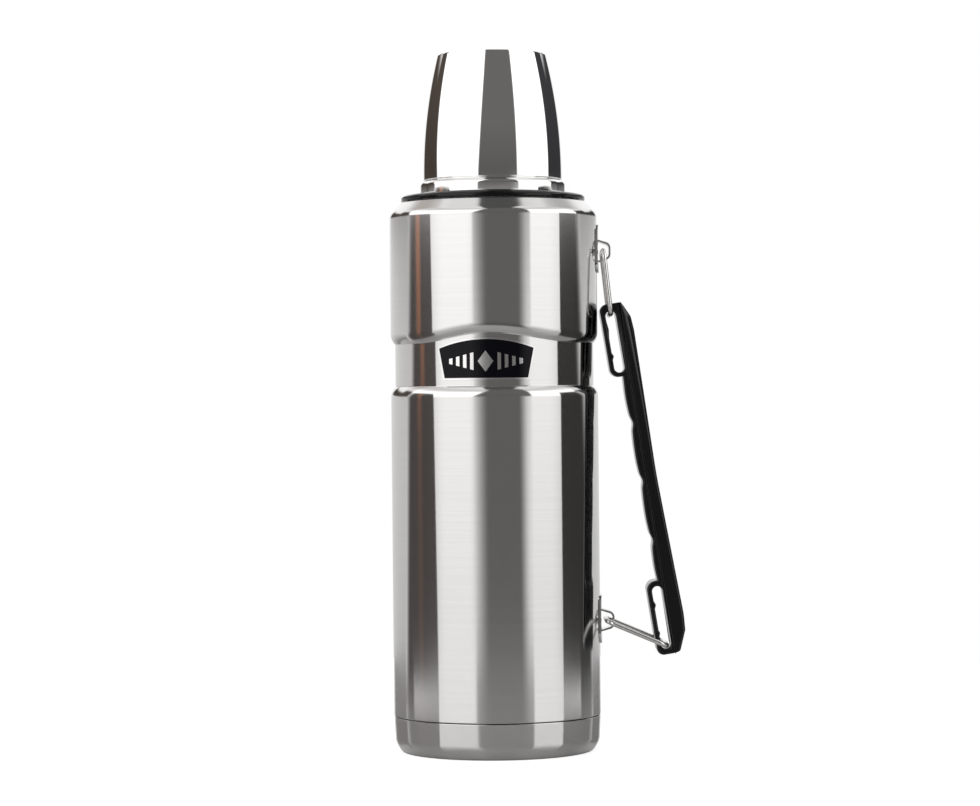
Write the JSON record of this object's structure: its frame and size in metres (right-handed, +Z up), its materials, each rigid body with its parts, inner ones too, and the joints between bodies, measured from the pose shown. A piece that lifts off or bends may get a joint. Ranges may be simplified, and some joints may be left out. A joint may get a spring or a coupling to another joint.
{
  "type": "vacuum flask",
  "caption": "Brushed steel vacuum flask with a recessed waist and plain badge, a polished cup lid over a screw stopper, and a black carrying handle on hinged wire loops.",
  "frame": {"origin": "centre of the foot, on the surface that the flask stands on", "axes": "+Z up the flask's axis, +X towards the carrying handle, -Y roughly towards the badge"},
  "size_m": [0.1293, 0.092, 0.3091],
  "materials": {
    "brushed_body": "brushed round the axis",
    "polished_steel": "mirror polish",
    "plain_steel": "drawn, dull",
    "wire_steel": "bright drawn wire",
    "gloss_black": "gloss",
    "grip_black": "semi-gloss moulded",
    "badge_steel": "bright, fine satin",
    "badge_black": "gloss enamel",
    "stopper_grey": "fine moulded texture",
    "silicone": "soft matte",
    "foam": "closed-cell foam",
    "copper": "thin bright foil",
    "getter": "pressed powder"
  },
  "bodies": {
    "flask": {"outer_shell": "brushed_body", "inner_vessel": "plain_steel", "copper_foil": "copper", "closure_plate": "plain_steel", "vacuum_plug": "plain_steel", "getter_holder": "plain_steel", "getter_pill": "getter", "base_cup": "brushed_body", "collar_gasket": "silicone", "neck_collar": "gloss_black", "badge_plate": "badge_steel", "badge_enamel": "badge_black", "upper_bracket": "polished_steel", "lower_bracket": "polished_steel"},
    "stopper_lift": {"stopper_seal": "silicone"},
    "stopper": {"stopper_body": "stopper_grey", "stopper_foam": "foam", "stopper_cap": "stopper_grey", "stem_o_ring": "silicone"},
    "knob": {"stopper_knob": "gloss_black", "knob_cap": "polished_steel"},
    "valve": {"plunger": "stopper_grey", "plunger_seal": "silicone"},
    "cup_lift": {"cup_seal": "silicone"},
    "cup": {"cup_outer": "polished_steel", "cup_inner": "plain_steel", "cup_thread_ring": "gloss_black"},
    "upper_link": {"upper_link": "wire_steel"},
    "lower_link": {"lower_link": "wire_steel"},
    "grip": {"grip_core": "grip_black", "grip_cover": "grip_black"}
  },
  "joints": [
    {"name": "stopper_rise", "type": "slide", "parent": "flask", "child": "stopper_lift", "axis": [0, 0, 1], "range_m": [0, 0.0361]},
    {"name": "stopper_turn", "type": "hinge", "parent": "stopper_lift", "child": "stopper", "pos_m": [0, 0, 0.25], "axis": [0, 0, 1], "range_deg": [0, 2160]},
    {"name": "knob_twist", "type": "hinge", "parent": "stopper", "child": "knob", "pos_m": [0, 0, 0.272], "axis": [0, 0, 1], "range_deg": [0, 120]},
    {"name": "valve_open", "type": "slide", "parent": "stopper", "child": "valve", "axis": [0, 0, 1], "range_m": [-0.0031, 0]},
    {"name": "cup_rise", "type": "slide", "parent": "stopper", "child": "cup_lift", "axis": [0, 0, 1], "range_m": [0, 0.0601]},
    {"name": "cup_turn", "type": "hinge", "parent": "cup_lift", "child": "cup", "pos_m": [0, 0, 0.25], "axis": [0, 0, 1], "range_deg": [0, 3600]},
    {"name": "handle_lift", "type": "hinge", "parent": "flask", "child": "upper_link", "pos_m": [0.0485, 0, 0.2212], "axis": [0, -1, 0], "range_deg": [0, 66]},
    {"name": "grip_swing", "type": "hinge", "parent": "upper_link", "child": "grip", "pos_m": [0.05151, 0, 0.19306], "axis": [0, -1, 0], "range_deg": [-76, 0]},
    {"name": "lower_link_turn", "type": "hinge", "parent": "flask", "child": "lower_link", "pos_m": [0.0488, 0, 0.0576], "axis": [0, -1, 0], "range_deg": [0, 46]}
  ],
  "couplings": [
    {"joint": "stopper_rise", "follows": "stopper_turn", "m_per_rad": 0.00095493},
    {"joint": "valve_open", "follows": "knob_twist", "m_per_rad": -0.0014324},
    {"joint": "cup_rise", "follows": "cup_turn", "m_per_rad": 0.00095493},
    {"joint": "grip_swing", "follows": "handle_lift", "ratio": -1.142},
    {"joint": "lower_link_turn", "follows": "handle_lift", "ratio": 0.693}
  ]
}
